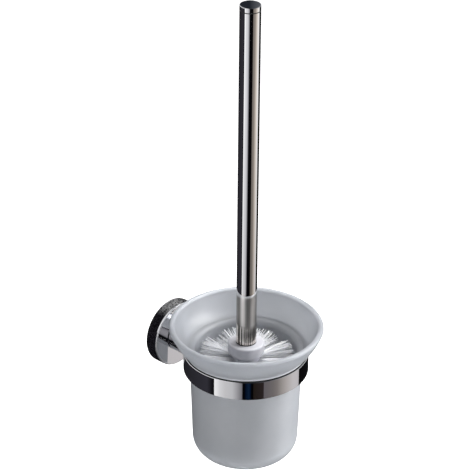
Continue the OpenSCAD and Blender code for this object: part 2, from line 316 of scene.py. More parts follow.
def tubes(name: str, paths: np.ndarray, radii: np.ndarray, sides: int = 4) -> Piece:
    """Make one mesh of many closed tubes, each with a ring of points about every path point.

    A ring point is the path point plus the radius times (cos a, sin a) along two directions
    that stand square to the line from the path's start to its end.

    Args:
        name: The piece's name.
        paths: An array of tubes by path points by (x, y, z).
        radii: An array of tubes by path points.
        sides: How many sides a tube has.

    Returns:
        The new object.
    """
    count, steps = paths.shape[:2]
    along = paths[:, -1] - paths[:, 0]
    along /= np.linalg.norm(along, axis=1, keepdims=True)
    # A tube that isn't steep is squared to the vertical, and a steep one to the x direction.
    steep = np.abs(along[:, 2:3]) >= 0.9
    helper = np.where(steep, np.array([[1.0, 0.0, 0.0]]), np.array([[0.0, 0.0, 1.0]]))
    across = np.cross(helper, along)
    across /= np.linalg.norm(across, axis=1, keepdims=True)
    beside = np.cross(along, across)
    angle = (np.arange(sides) * TURN / sides)[None, :, None]
    spoke = across[:, None] * np.cos(angle) + beside[:, None] * np.sin(angle)
    points = paths[:, :, None] + spoke[:, None] * radii[:, :, None, None]
    number = np.arange(count * steps * sides).reshape(count, steps, sides)
    turned = np.roll(number, -1, axis=2)
    walls = np.stack([number[:, :-1], turned[:, :-1], turned[:, 1:], number[:, 1:]], axis=-1)
    ends = np.concatenate([number[:, 0, ::-1], number[:, -1]])
    share = np.broadcast_to(np.linspace(0.0, 1.0, steps)[None, :, None], number.shape)
    which = np.broadcast_to((np.arange(count) / max(count, 1))[:, None, None], number.shape)
    uvs = np.stack([which, share], axis=-1).reshape(-1, 2)
    faces = walls.reshape(-1, 4).tolist() + ends.tolist()
    return mesh_piece(name, points.reshape(-1, 3), faces, uvs)


# --- finishes ---


@dataclass(frozen=True)
class Finish:
    """One real material and the way its surface was made."""

    name: str
    slot: str
    colour: str
    roughness: float
    metallic: float = 0.0

    def material(self) -> bpy.types.Material:
        """Make the material, or hand back the one that was made before.

        Returns:
            The material, with its pattern.
        """
        made = bpy.data.materials.get(self.name)
        if made is None:
            made = bpy.data.materials.new(self.name)
            made.use_nodes = True
            shader = made.node_tree.nodes["Principled BSDF"]
            shader.inputs["Base Color"].default_value = linear(self.colour)
            shader.inputs["Roughness"].default_value = self.roughness
            shader.inputs["Metallic"].default_value = self.metallic
            self.pattern(made.node_tree, shader)
        return made

    def pattern(self, tree: Tree, shader: bpy.types.Node) -> None:
        """Add what keeps the surface from being flat: each kind of finish has its own.

        Args:
            tree: The material's node tree.
            shader: The shader in it that takes the colour, the roughness and the relief.
        """

    def dress(self, piece: Piece) -> None:
        """Give a piece this finish alone."""
        piece.data.materials.clear()
        piece.data.materials.append(self.material())

    def noise(self, tree: Tree, size_mm: float, detail: float = 2.0, rough: float = 0.5) -> Any:
        """Add noise on object coordinates.

        Args:
            tree: The material's node tree.
            size_mm: The size of one feature in millimetres.
            detail: How many finer layers the noise has.
            rough: How strong each finer layer is against the one before.

        Returns:
            The socket that carries the noise.
        """
        place = add_node(tree, "ShaderNodeTexCoord")
        return add_node(tree, "ShaderNodeTexNoise",
                        {"Scale": 1.0 / (size_mm * MM), "Detail": detail, "Roughness": rough},
                        {"Vector": place.outputs["Object"]}).outputs["Fac"]

    def tint(self, tree: Tree, noise: Any, colours: tuple[str, str]) -> Any:
        """Blend two colours by a noise."""
        return bands(tree, noise, ((NOISE_LOW, colours[0]), (NOISE_HIGH, colours[1])))

    def blur(self, tree: Tree, shader: bpy.types.Node, noise: Any,
             shares: tuple[float, float]) -> None:
        """Let the roughness drift by a noise.

        Args:
            tree: The material's node tree.
            shader: The shader that takes the roughness.
            noise: The socket that carries the noise.
            shares: The lowest and the highest roughness, as shares of the finish's own.
        """
        drift = add_node(tree, "ShaderNodeMapRange",
                         {"From Min": NOISE_LOW, "From Max": NOISE_HIGH,
                          "To Min": self.roughness * shares[0],
                          "To Max": self.roughness * shares[1]}, {"Value": noise})
        tree.links.new(drift.outputs["Result"], shader.inputs["Roughness"])

    def relief(self, tree: Tree, shader: bpy.types.Node, noise: Any, depth_mm: float,
               strength: float) -> None:
        """Raise the surface by a noise.

        Args:
            tree: The material's node tree.
            shader: The shader that takes the relief.
            noise: The socket that carries the noise.
            depth_mm: The full depth in millimetres.
            strength: How much of the relief shows, from 0 to 1.
        """
        bump = add_node(tree, "ShaderNodeBump", {"Strength": strength, "Distance": depth_mm * MM},
                        {"Height": noise})
        tree.links.new(bump.outputs["Normal"], shader.inputs["Normal"])


@dataclass(frozen=True)
class PolishedChrome(Finish):
    """Brass, buffed and chrome plated: a mirror that blurs a little where it was handled."""

    handling_mm: float = 9.0
    blurs: tuple[float, float] = (0.6, 1.6)

    def pattern(self, tree: Tree, shader: bpy.types.Node) -> None:
        """Let the roughness drift between the cleanest and the most handled patches."""
        self.blur(tree, shader, self.noise(tree, self.handling_mm, 4.0, 0.6), self.blurs)


@dataclass(frozen=True)
class ReflectionPaintedChrome(PolishedChrome):
    """Chrome with a painted reflection at its foot: upright warm grey streaks stand for the mirrored
    bowl.

    A streak is a pair of its place across the tube, from 0 at one side to 1 at the other, and its
    colour. The painted reflection fades out between the two upper heights. Below the two lower
    heights it turns into painted fine lines that stand for the mirrored bristles, coloured by a noise
    with so many features across.
    """

    axis: tuple[float, float, float] = (0.0, -83.0 * MM, 0.0)
    across: tuple[float, float, float] = (0.6756, -0.7373, 0.0)
    radius: float = 8.0 * MM
    painted_reflection_low: float = 65.0 * MM
    painted_reflection_high: float = 70.5 * MM
    painted_bristle_low: float = 37.5 * MM
    painted_bristle_high: float = 41.5 * MM
    lines: float = 20.0
    reflected_bristle_colours: Stops = (
        (0.00, "#1E1B18"), (0.44, "#38342F"), (0.50, "#96908A"), (0.54, "#FFF8F0"),
        (1.00, "#FFF8F0"))
    painted_reflection_streaks: Stops = (
        (0.00, "#8B8782"), (0.07, "#807D78"), (0.11, "#777470"), (0.16, "#807D78"),
        (0.21, "#B5B0AB"), (0.26, "#E2DCD5"), (0.31, "#F1EAE3"), (0.35, "#EBE5DE"),
        (0.41, "#D4CFC8"), (0.45, "#ACA7A2"), (0.50, "#999590"), (0.55, "#888580"),
        (0.59, "#97938E"), (0.65, "#A29D98"), (0.69, "#CBC6BF"), (0.74, "#F1EAE3"),
        (0.79, "#FFFCF3"), (0.83, "#FFF9F1"), (0.89, "#DAD4CD"), (0.93, "#A8A39E"),
        (1.00, "#9E9994"))

    def pattern(self, tree: Tree, shader: bpy.types.Node) -> None:
        """Lay the painted reflection over the polished chrome, by the place across the tube and the
        height.
        """
        super().pattern(tree, shader)
        place = add_node(tree, "ShaderNodeTexCoord")
        spoke = add_node(tree, "ShaderNodeVectorMath", {"operation": "SUBTRACT", 1: self.axis},
                         {0: place.outputs["Object"]})
        side = add_node(tree, "ShaderNodeVectorMath", {"operation": "DOT_PRODUCT", 1: self.across},
                        {0: spoke.outputs[0]})
        share = add_node(tree, "ShaderNodeMapRange",
                         {"From Min": -self.radius, "From Max": self.radius},
                         {"Value": side.outputs["Value"]}).outputs["Result"]
        line = add_node(tree, "ShaderNodeTexNoise",
                        {"noise_dimensions": "1D", "Scale": self.lines, "Detail": 2.0},
                        {"W": share})
        # Painted reflection: fine bristle lines low down, bowl streaks above them, then the clean
        # chrome colour higher up.
        painted_picture = add_node(tree, "ShaderNodeMix", {"data_type": "RGBA"},
                        {0: by_height(tree, self.painted_bristle_low, self.painted_bristle_high),
                         6: bands(tree, line.outputs["Fac"], self.reflected_bristle_colours),
                         7: bands(tree, share, self.painted_reflection_streaks)})
        tube = add_node(tree, "ShaderNodeMix", {"data_type": "RGBA", 7: linear(self.colour)},
                        {0: by_height(tree, self.painted_reflection_low, self.painted_reflection_high), 6: painted_picture.outputs[2]})
        tree.links.new(tube.outputs[2], shader.inputs["Base Color"])


@dataclass(frozen=True)
class KnurledChrome(Finish):
    """Rolled diamond knurl under dark plating, with a painted highlight that makes the upper side
    glitter bright.

    A speck has about the size of one diamond.
    """

    speck_mm: float = 1.8
    painted_highlight_low: float = 21.0 * MM
    painted_highlight_high: float = 29.5 * MM
    dark_specks: tuple[str, str] = ("#070609", "#2E2C33")
    painted_highlight_specks: tuple[str, str] = ("#1A191C", "#FFFFFF")
    blurs: tuple[float, float] = (0.64, 1.44)

    def pattern(self, tree: Tree, shader: bpy.types.Node) -> None:
        """Speckle the plating, from dark specks below to painted highlight specks on the upper side.
        """
        speck = self.noise(tree, self.speck_mm, 3.0, 0.7)
        # Painted highlight: the specks turn bright towards the top, where the knurl catches the
        # light.
        blend = add_node(tree, "ShaderNodeMix", {"data_type": "RGBA"},
                         {0: by_height(tree, self.painted_highlight_low, self.painted_highlight_high, ease=Ease.SOFT),
                          6: self.tint(tree, speck, self.dark_specks),
                          7: self.tint(tree, speck, self.painted_highlight_specks)})
        tree.links.new(blend.outputs[2], shader.inputs["Base Color"])
        self.blur(tree, shader, speck, self.blurs)


@dataclass(frozen=True)
class ZincPlate(Finish):
    """Turned or pressed steel with passivated zinc: satin, with faint cloudy patches."""

    cloud_mm: float = 3.0
    clouds: tuple[str, str] = ("#9A9DA0", "#C6C8C6")
    blurs: tuple[float, float] = (0.714, 1.2)
    mark_mm: float = 0.4
    mark_depth_mm: float = 0.02

    def pattern(self, tree: Tree, shader: bpy.types.Node) -> None:
        """Cloud the colour and the roughness together, over fine tool marks."""
        cloud = self.noise(tree, self.cloud_mm, 5.0, 0.6)
        tree.links.new(self.tint(tree, cloud, self.clouds), shader.inputs["Base Color"])
        self.blur(tree, shader, cloud, self.blurs)
        self.relief(tree, shader, self.noise(tree, self.mark_mm), self.mark_depth_mm, 0.4)


@dataclass(frozen=True)
class EtchedGlass(Finish):
    """Pressed soda-lime glass, etched in acid: a fine satin skin that lets light through.

    The bowl is clearer than the body, and the edge of the rim is milky. That edge and the painted
    shade lie at shares of the walk round the profile; the painted shade darkens the bowl's inside and
    is deepest at the ledge.
    The true etch grain is too fine to show, so it is drawn at half a millimetre.
    """

    ior: float = 1.5
    grain_mm: float = 0.5
    grain_depth_mm: float = 0.03
    drift_mm: float = 28.0
    drifts: tuple[str, str] = ("#D8DCE2", "#E2E5EB")
    blurs: tuple[float, float] = (0.9, 1.1)
    body_clearness: float = 0.48
    bowl_clearness: float = 0.6
    bowl_low: float = 17.0 * MM
    bowl_high: float = 22.0 * MM
    walk: float = 0.309
    edge_at: float = 0.4235
    edge_half: float = 0.003
    edge_fade: float = 0.004
    edge_share: float = 0.05
    # Painted shade: a darker colour on the bowl's inside, deepest at the ledge, and a little on the
    # base.
    painted_shades: Stops = (
        (0.0, "#F0F0F0"), (0.16, "#FFFFFF"), (0.49, "#FFFFFF"), (0.53, "#DEDEDE"),
        (0.57, "#D0D0D0"), (0.585, "#C4C4C4"), (0.605, "#C6C6C6"), (0.63, "#D6D6D6"),
        (1.0, "#EEEEEE"))

    def pattern(self, tree: Tree, shader: bpy.types.Node) -> None:
        """Set the clearness, the painted shade and the grain of the skin."""
        shader.inputs["IOR"].default_value = self.ior
        surface = add_node(tree, "ShaderNodeUVMap", {"uv_map": "surface"})
        walked = add_node(tree, "ShaderNodeSeparateXYZ", {}, {0: surface.outputs["UV"]})
        share = add_node(tree, "ShaderNodeMath", {"operation": "DIVIDE", 1: self.walk},
                         {0: walked.outputs["Y"]}).outputs[0]
        beside = add_node(tree, "ShaderNodeMath", {"operation": "SUBTRACT", 1: self.edge_at},
                          {0: share})
        away = add_node(tree, "ShaderNodeMath", {"operation": "ABSOLUTE"}, {0: beside.outputs[0]})
        milky = add_node(tree, "ShaderNodeMapRange",
                         {"From Min": self.edge_half, "From Max": self.edge_half + self.edge_fade,
                          "To Min": self.edge_share}, {"Value": away.outputs[0]})
        clear = add_node(tree, "ShaderNodeMath", {"operation": "MULTIPLY"},
                         {0: by_height(tree, self.bowl_low, self.bowl_high, self.body_clearness,
                                       self.bowl_clearness), 1: milky.outputs["Result"]})
        tree.links.new(clear.outputs[0], shader.inputs["Transmission Weight"])
        # The base colour is the random tone times the painted shade along the profile.
        skin = add_node(tree, "ShaderNodeMix",
                        {"data_type": "RGBA", "blend_type": "MULTIPLY", 0: 1.0},
                        {6: self.tint(tree, self.noise(tree, self.drift_mm, 3.0), self.drifts),
                         7: bands(tree, share, self.painted_shades)})
        tree.links.new(skin.outputs[2], shader.inputs["Base Color"])
        grain = self.noise(tree, self.grain_mm, 3.0, 0.7)
        self.blur(tree, shader, grain, self.blurs)
        self.relief(tree, shader, grain, self.grain_depth_mm, 0.5)


@dataclass(frozen=True)
class MouldedPlastic(Finish):
    """Injection-moulded plastic or rubber: an even colour over a fine spark-eroded grain.

    The true grain is too fine to show, so it is drawn at 0.6 mm.
    """

    shade: str = "#E6E8EA"
    mottle_mm: float = 6.0
    grain_mm: float = 0.6
    grain_depth_mm: float = 0.02
    blurs: tuple[float, float] = (0.85, 1.15)

    def pattern(self, tree: Tree, shader: bpy.types.Node) -> None:
        """Mottle the colour a little and raise the mould's grain."""
        mottle = self.tint(tree, self.noise(tree, self.mottle_mm), (self.shade, self.colour))
        tree.links.new(mottle, shader.inputs["Base Color"])
        grain = self.noise(tree, self.grain_mm, 3.0)
        self.blur(tree, shader, grain, self.blurs)
        self.relief(tree, shader, grain, self.grain_depth_mm, 0.5)


@dataclass(frozen=True)
class NylonFilament(Finish):
    """Extruded nylon filament: glossy white, each a shade apart from its neighbour."""

    ior: float = 1.53
    strand_mm: float = 1.1
    whites: tuple[str, str] = ("#EEF0F6", "#FFFFFF")
    glow: float = 0.15
    glow_reach: tuple[float, float, float] = (0.8 * MM, 0.8 * MM, 0.9 * MM)

    def pattern(self, tree: Tree, shader: bpy.types.Node) -> None:
        """Shade each filament by its place in the head and let a little light into it."""
        shader.inputs["IOR"].default_value = self.ior
        shader.inputs["Subsurface Weight"].default_value = self.glow
        shader.inputs["Subsurface Radius"].default_value = self.glow_reach
        strand = self.tint(tree, self.noise(tree, self.strand_mm), self.whites)
        tree.links.new(strand, shader.inputs["Base Color"])


# Buffed chrome has no colour of its own: the eye sees sharp bands of whatever stands round it.
CHROME = PolishedChrome("chrome plated brass, mirror buffed", "chrome", "#E8E8EA", 0.018, 1.0)
# A turned edge isn't buffed: the eye sees a soft pale line about the mirror face.
EDGE = PolishedChrome("chrome plated brass, turned edge", "chrome", "#F2F2F4", 0.3, 1.0)
# A painted reflection gives the mirror's foot a warm, streaky grey in place of the mirrored bowl and
# bristles.
TUBE = ReflectionPaintedChrome("chrome plated brass, painted reflection at its foot", "chrome", "#E8E8EA", 0.018, 1.0)
# The knurl breaks every reflection into points: nearly black, with a painted highlight glitter along
# the top.
KNURL = KnurledChrome("chrome plated brass, diamond knurled", "dark_knurl", "#3B3E43", 0.25, 1.0)
# Zinc gives a cloudy satin grey that holds no picture.
ZINC = ZincPlate("zinc plated steel", "zinc_steel", "#B0B2B3", 0.35, 1.0)
# The etched skin lets light through but no shapes: cool grey, darkened inside the bowl by painted
# shade, whiter at the edge of the rim.
GLASS = EtchedGlass("soda-lime glass, acid etched", "frosted_glass", "#D6D8DE", 0.33)
# Black rubber gives a dull black line between the bright parts; on the gasket and in the cap's seam
# that black line is also painted shade.
RUBBER = MouldedPlastic("black rubber, moulded", "black_rubber", "#17181A", 0.6, shade="#0F1011")
# Polypropylene gives a soft white without sharp highlights.
PLASTIC = MouldedPlastic("white polypropylene, moulded", "white_plastic", "#C4C4CA", 0.45,
                         shade="#BBBBC2")
# Nylon gives bright single threads that glow a little where they crowd together.
NYLON = NylonFilament("white nylon filament, extruded", "bristle", "#F2F5FF", 0.28)
OWN = {"handle_tube": TUBE}
FINISHES = {finish.slot: finish for finish in (CHROME, KNURL, ZINC, GLASS, RUBBER, PLASTIC, NYLON)}


# --- the camera and the studio ---


@dataclass(frozen=True)
class ProductCamera:
    """A long lens that looks down on the set from the front left."""

    azimuth: float = -47.51
    elevation: float = 28.72
    roll: float = 0.57
    distance: float = 1.9607
    aim_right: float = 0.00847
    aim_down: float = 0.10335
    lens: float = 191.5
    sensor: float = 36.0
    clip: tuple[float, float] = (0.05, 60.0)

    def directions(self) -> tuple[np.ndarray, np.ndarray, np.ndarray]:
        """Work out the view's directions from its three angles.

        Returns:
            The right, the down and the forward direction.
        """
        turn, tilt, lean = (math.radians(v) for v in (self.azimuth, self.elevation, self.roll))
        level = np.array([-math.sin(turn), math.cos(turn), 0.0])
        up = np.array([0.0, 0.0, 1.0])
        forward = level * math.cos(tilt) - up * math.sin(tilt)
        side = np.array([math.cos(turn), math.sin(turn), 0.0])
        down = -level * math.sin(tilt) - up * math.cos(tilt)
        return (side * math.cos(lean) - down * math.sin(lean),
                side * math.sin(lean) + down * math.cos(lean), forward)

    def build(self, aim: np.ndarray) -> Piece:
        """Place the camera so that a point of the object lies right of and below its centre line.

        Args:
            aim: The point on the cup's axis, level with the ring's lower edge.

        Returns:
            The camera object, which is now the scene's camera.
        """
        right, down, forward = self.directions()
        data = bpy.data.cameras.new("camera")
        data.lens, data.sensor_width = self.lens, self.sensor
        data.clip_start, data.clip_end = self.clip
        camera = bpy.data.objects.new("camera", data)
        place = aim - forward * self.distance - right * self.aim_right - down * self.aim_down
        columns = np.stack([right, -down, -forward], axis=1)
        camera.matrix_world = (Matrix.Translation(Vector(place))
                               @ Matrix(columns.tolist()).to_4x4())
        bpy.context.scene.collection.objects.link(camera)
        bpy.context.scene.camera = camera
        return camera


@dataclass(frozen=True)
class Card:
    """A curved studio card about the set, printed with bands that mirrors pick up.

    Its stops are pairs of a bearing and a colour, in growing order. A bearing is in degrees from
    the camera's side and grows towards the view's right. Its brightness changes by the gain
    between two heights, and its reach is its radius at the lower and upper edge.
    """

    name: str
    low: float
    high: float
    stops: Stops
    gain: float = 1.0
    gain_low: float = -0.49
    gain_high: float = -0.2
    reach: tuple[float, float] = (0.9, 0.9)
    through_glass: bool = False


@dataclass(frozen=True)
class SoftLight:
    """A square soft box: its bearing, its height in degrees, its side and its power."""

    name: str
    bearing: float
    elevation: float
    side: float
    power: float


@dataclass(frozen=True)
class Seen:
    """How bright a backdrop is for the camera, through glass and in a mirror."""

    plainly: float
    through_glass: float
    mirrored: float

    def strength(self, tree: Tree) -> Any:
        """Give each kind of ray its own strength: the largest of ray flag times strength.

        Args:
            tree: The node tree of the backdrop's material.

        Returns:
            The socket that carries the strength.
        """
        path = add_node(tree, "ShaderNodeLightPath")
        flags = {"Is Camera Ray": self.plainly, "Is Transmission Ray": self.through_glass,
                 "Is Glossy Ray": self.mirrored}
        parts = [add_node(tree, "ShaderNodeMath", {"operation": "MULTIPLY", 1: strength},
                          {0: path.outputs[flag]}).outputs[0] for flag, strength in flags.items()]
        most = add_node(tree, "ShaderNodeMath", {"operation": "MAXIMUM"},
                        {0: parts[0], 1: parts[1]})
        return add_node(tree, "ShaderNodeMath", {"operation": "MAXIMUM"},
                        {0: most.outputs[0], 1: parts[2]}).outputs[0]


@dataclass
class Studio:
    """A pale floor far below the set, soft boxes, and cards for the mirrors to reflect."""

    camera: ProductCamera
    centre: tuple[float, float]
    floor_z: float = -0.8
    floor_side: float = 12.0
    floor_colour: str = "#F1F1F1"
    floor_seen: Seen = Seen(0.93, 0.25, 0.25)
    fill: float = 0.06
    fill_colour: str = "#F4F7FC"
    sky_seen: Seen = Seen(1.0, 0.7, 0.7)
    cards: tuple[Card, ...] = (
        Card("card_black_left", -0.8, 0.5, (
            (-180.0, "#141416"), (-120.0, "#2B2A2F"), (-74.0, "#34333A"), (-64.0, "#1B1A1E"),
            (-58.6, "#0A090B"))),
        Card("card_front", -0.8, 0.5, (
            (-58.6, "#FFFFFF"), (-53.0, "#F6F6F6"), (-47.0, "#E2E2E3"), (-37.0, "#D2D1D2"),
            (-24.0, "#C9C9CB"), (-15.0, "#A6A5A8"), (-8.0, "#807F83"), (-6.0, "#6C6B70"),
            (-5.7, "#060609"), (6.0, "#040406"), (20.0, "#060507"), (33.0, "#0C0A0A")),
            gain=1.3, through_glass=True),
        Card("card_blue", -0.53, -0.455, ((-1.5, "#030819"), (5.5, "#10223A"), (9.5, "#050A1C")),
             reach=(0.88, 0.88), through_glass=True),
        Card("card_brown", -0.53, -0.455, ((13.5, "#231D19"), (32.4, "#2E2727")),
             reach=(0.88, 0.88), through_glass=True),
        Card("card_mauve", -0.62, -0.455, (
            (32.4, "#666165"), (50.0, "#75706F"), (58.5, "#847E7B"), (69.0, "#A59F9B"),
            (80.5, "#BCB6B3"), (94.0, "#CECACA"), (103.0, "#CFCBCC"), (112.0, "#C7C4C6")),
            reach=(0.88, 0.88), through_glass=True),
        Card("card_side", -0.8, 0.5, (
            (33.0, "#68625C"), (50.0, "#756E67"), (58.5, "#857C74"), (69.0, "#A59C92"),
            (80.5, "#BFB8AE"), (94.0, "#D0CCC8"), (103.0, "#D6D3D0"), (112.0, "#CFCCCB")),
            gain=1.6, through_glass=True),
        Card("card_black_right", -0.8, 0.5, (
            (112.0, "#0B090A"), (140.0, "#121113"), (180.0, "#141416"))),
        Card("card_floor", -0.79, -0.79, (
            (-180.0, "#141418"), (0.0, "#18181C"), (180.0, "#141418")), reach=(0.01, 0.88)),
        Card("card_white_left", 0.12, 0.49, ((-178.0, "#E6E6E8"), (-62.0, "#F0F0F2")),
             reach=(0.87, 0.87)),
        Card("card_white_right", 0.12, 0.49, ((62.0, "#DCDCDE"), (178.0, "#C8C8CA")),
             reach=(0.87, 0.87)),
        Card("card_ceiling", 0.5, 1.3, (
            (-180.0, "#22262D"), (-165.0, "#2C2F36"), (-145.0, "#E4E4E6"), (-30.0, "#F4F4F6"),
            (-8.0, "#2A2C31"), (20.0, "#22262D"), (60.0, "#77777A"), (95.0, "#C9C9CB"),
            (120.0, "#9A9A9C"), (140.0, "#7B7E84"), (168.0, "#85888E"), (180.0, "#2A2E35")),
            gain=0.3, gain_low=0.7, gain_high=1.1, reach=(0.9, 0.01)),
    )
    lights: tuple[SoftLight, ...] = (
        SoftLight("key_light", 98.0, 30.0, 0.9, 27.0),
        SoftLight("side_light", 98.0, 0.0, 1.0, 10.0),
        SoftLight("high_side_light", 98.0, 55.0, 0.7, 11.5),
        SoftLight("back_light", 140.0, 45.0, 1.0, 13.0),
        SoftLight("top_light", 170.0, 65.0, 1.0, 12.0),
        SoftLight("low_front_light", 0.0, 0.0, 1.0, 9.8),
        SoftLight("left_light", -100.0, 20.0, 1.0, 6.3),
        SoftLight("high_front_light", 0.0, 60.0, 1.0, 0.8),
    )
    light_distance: float = 1.6
    light_aim_z: float = 0.05

    def bearing(self, degrees: np.ndarray | float) -> np.ndarray | float:
        """Turn a bearing into an angle about the vertical, in radians."""
        return np.radians(self.camera.azimuth - 90.0 + np.asarray(degrees))

    def build(self) -> None:
        """Build the floor, the cards, the lights and the sky."""
        self.build_floor()
        for card in self.cards:
            self.build_card(card)
        for light in self.lights:
            self.build_light(light)
        self.build_sky()
        log.info("studio: %d cards, %d lights", len(self.cards), len(self.lights))

    def build_floor(self) -> Piece:
        """Lay a pale floor that shows white where it is lit and keeps the set's shadow.

        Returns:
            The floor's object.
        """
        half = self.floor_side / 2.0
        corners = np.array([[-1, -1], [1, -1], [1, 1], [-1, 1]]) * half
        points = np.column_stack([corners + np.array(self.centre), np.full(4, self.floor_z)])
        floor = mesh_piece("floor", points, [[0, 1, 2, 3]])
        material, tree = bare_material("studio floor")
        pale = add_node(tree, "ShaderNodeBsdfDiffuse", {"Color": linear(self.floor_colour)})
        glow = add_node(tree, "ShaderNodeEmission", {},
                        {"Strength": self.floor_seen.strength(tree)})
        both = add_node(tree, "ShaderNodeAddShader", {}, {0: pale.outputs[0], 1: glow.outputs[0]})
        tree.links.new(both.outputs[0], tree.nodes["Material Output"].inputs["Surface"])
        floor.data.materials.append(material)
        floor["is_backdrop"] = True
        return floor

    def build_card(self, card: Card) -> Piece:
        """Bend a card about the set: x = r cos a, y = r sin a, between two heights.

        Args:
            card: The card's heights, bearings and colours.

        Returns:
            The card's object, which neither the camera nor plain surfaces see.
        """
        first, last = card.stops[0][0], card.stops[-1][0]
        angle = self.bearing(np.linspace(first, last, CARD_STEPS + 1))
        around = np.stack([np.cos(angle), np.sin(angle)], axis=1)
        points = np.concatenate([
            np.column_stack([np.array(self.centre) + around * radius,
                             np.full(CARD_STEPS + 1, z)])
            for radius, z in zip(card.reach, (card.low, card.high))])
        here = np.arange(CARD_STEPS)
        above = here + CARD_STEPS + 1
        faces = np.stack([here, here + 1, above + 1, above], axis=1).tolist()
        across = np.tile(np.linspace(0.0, 1.0, CARD_STEPS + 1), 2)
        piece = mesh_piece(card.name, points, faces, np.column_stack([across, across * 0.0]))
        material, tree = bare_material(card.name)
        place = add_node(tree, "ShaderNodeUVMap", {"uv_map": "surface"})
        along = add_node(tree, "ShaderNodeSeparateXYZ", {}, {0: place.outputs["UV"]})
        stops = tuple(((at - first) / (last - first), colour) for at, colour in card.stops)
        glow = add_node(tree, "ShaderNodeEmission", {},
                        {"Color": bands(tree, along.outputs["X"], stops),
                         "Strength": by_height(tree, card.gain_low, card.gain_high, 1.0,
                                               card.gain)})
        tree.links.new(glow.outputs[0], tree.nodes["Material Output"].inputs["Surface"])
        material.cycles.emission_sampling = "NONE"
        piece.data.materials.append(material)
        piece.visible_camera = piece.visible_diffuse = False
        piece.visible_transmission = card.through_glass
        piece.visible_shadow = piece.visible_volume_scatter = False
        piece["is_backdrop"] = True
        return piece

    def build_light(self, light: SoftLight) -> Piece:
        """Hang a soft box that faces the middle of the set.

        Args:
            light: The soft box's place, size and power.

        Returns:
            The light's object.
        """
        data = bpy.data.lights.new(light.name, "AREA")
        data.shape, data.size, data.energy = "SQUARE", light.side, light.power
        angle, rise = self.bearing(light.bearing), math.radians(light.elevation)
        away = Vector((math.cos(angle) * math.cos(rise), math.sin(angle) * math.cos(rise),
                       math.sin(rise)))
        lamp = bpy.data.objects.new(light.name, data)
        lamp.location = Vector((*self.centre, self.light_aim_z)) + away * self.light_distance
        lamp.rotation_euler = away.to_track_quat("Z", "Y").to_euler()
        bpy.context.scene.collection.objects.link(lamp)
        return lamp

    def build_sky(self) -> None:
        """Surround the set with an even fill light that looks white where it is seen."""
        world = bpy.data.worlds.new("studio")
        world.use_nodes = True
        bpy.context.scene.world = world
        tree = world.node_tree
        tree.nodes.remove(tree.nodes["Background"])
        fill = add_node(tree, "ShaderNodeBackground",
                        {"Color": linear(self.fill_colour), "Strength": self.fill})
        white = add_node(tree, "ShaderNodeBackground",
                         {"Color": linear("#FFFFFF"), "Strength": 1.0})
        sky = add_node(tree, "ShaderNodeMixShader", {},
                       {0: self.sky_seen.strength(tree), 1: fill.outputs[0], 2: white.outputs[0]})
        tree.links.new(sky.outputs[0], tree.nodes["World Output"].inputs["Surface"])


# --- the set ---


@dataclass
class GlassCup:
    """The pressed glass cup: rounded base, tapered wall, shoulder on the ring and flared rim."""

    axis: tuple[float, float]
    base_z: float
    rim_z: float
    rim_r: float
    shoulder_z: float
    base_r: float = 41.7 * MM
    base_round: float = 16.0 * MM
    neck_r: float = 44.3 * MM
    neck_round: float = 0.8 * MM
    shoulder_r: float = 48.2 * MM
    shoulder_round: float = 1.0 * MM
    wall: float = 4.6 * MM
    lip: float = 4.8 * MM
    floor: float = 5.0 * MM
    ledge_rise: float = 2.9 * MM
    ledge_round: float = 4.5 * MM
    dish_rise: float = 1.6 * MM
    dish_inset: float = 2.0 * MM
    flare_out: float = 0.25
    flare_in: float = 0.5
    around: int = 256

    def profile(self) -> Profile:
        """Walk up the outside and down the inside, in arcs joined by straight stretches.

        Returns:
            An array of (radius, height) rows.
        """
        base_in, low = self.base_r - self.base_round, self.base_z + self.base_round
        foot = base_in - self.dish_inset
        dish = (foot ** 2 + self.dish_rise ** 2) / (2.0 * self.dish_rise)
        dish_angle = math.degrees(math.asin(foot / dish))
        floor_z = self.base_z + self.floor
        inner = self.base_round - self.wall
        lip, ease = self.lip / 2.0, self.shoulder_round
        ledge_r, ledge_z = (self.neck_r - self.wall + self.ledge_round,
                            self.shoulder_z + self.ledge_rise)
        shoulder = arc((self.shoulder_r - ease, self.shoulder_z + ease), ease, -90.0, 25.0, 10)
        return np.concatenate([
            arc((0.0, self.base_z + self.dish_rise - dish), dish, 90.0, 90.0 - dish_angle, 10),
            arc((base_in, low), self.base_round, -90.0, 0.0, 24),
            arc((self.neck_r + self.neck_round, self.shoulder_z - self.neck_round),
                self.neck_round, 180.0, 90.0, 5),
            shoulder,
            flare(tuple(shoulder[-1]), (self.rim_r, self.rim_z - lip), self.flare_out)[1:],
            arc((self.rim_r - lip, self.rim_z - lip), lip, 10.0, 170.0, 14),
            flare((ledge_r, ledge_z), (self.rim_r - self.lip, self.rim_z - lip),
                  self.flare_in)[::-1],
            arc((ledge_r, ledge_z - self.ledge_round), self.ledge_round, 90.0, 180.0, 8)[1:],
            np.array([[self.base_r - self.wall, low]]),
            arc((self.base_r - self.wall - inner, floor_z + inner), inner, 0.0, -90.0, 16),
            np.array([[0.0, floor_z]]),
        ])

    def build(self) -> Piece:
        """Revolve the profile and set it in the place of the plain solid.

        Returns:
            The cup's object.
        """
        piece = revolve("etched_glass_cup", self.profile(), self.axis, self.around)
        GLASS.dress(piece)
        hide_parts("glass_cup")
        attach(piece, Body.CUP.value)
        log.info("glass cup: %d faces", len(piece.data.polygons))
        return piece


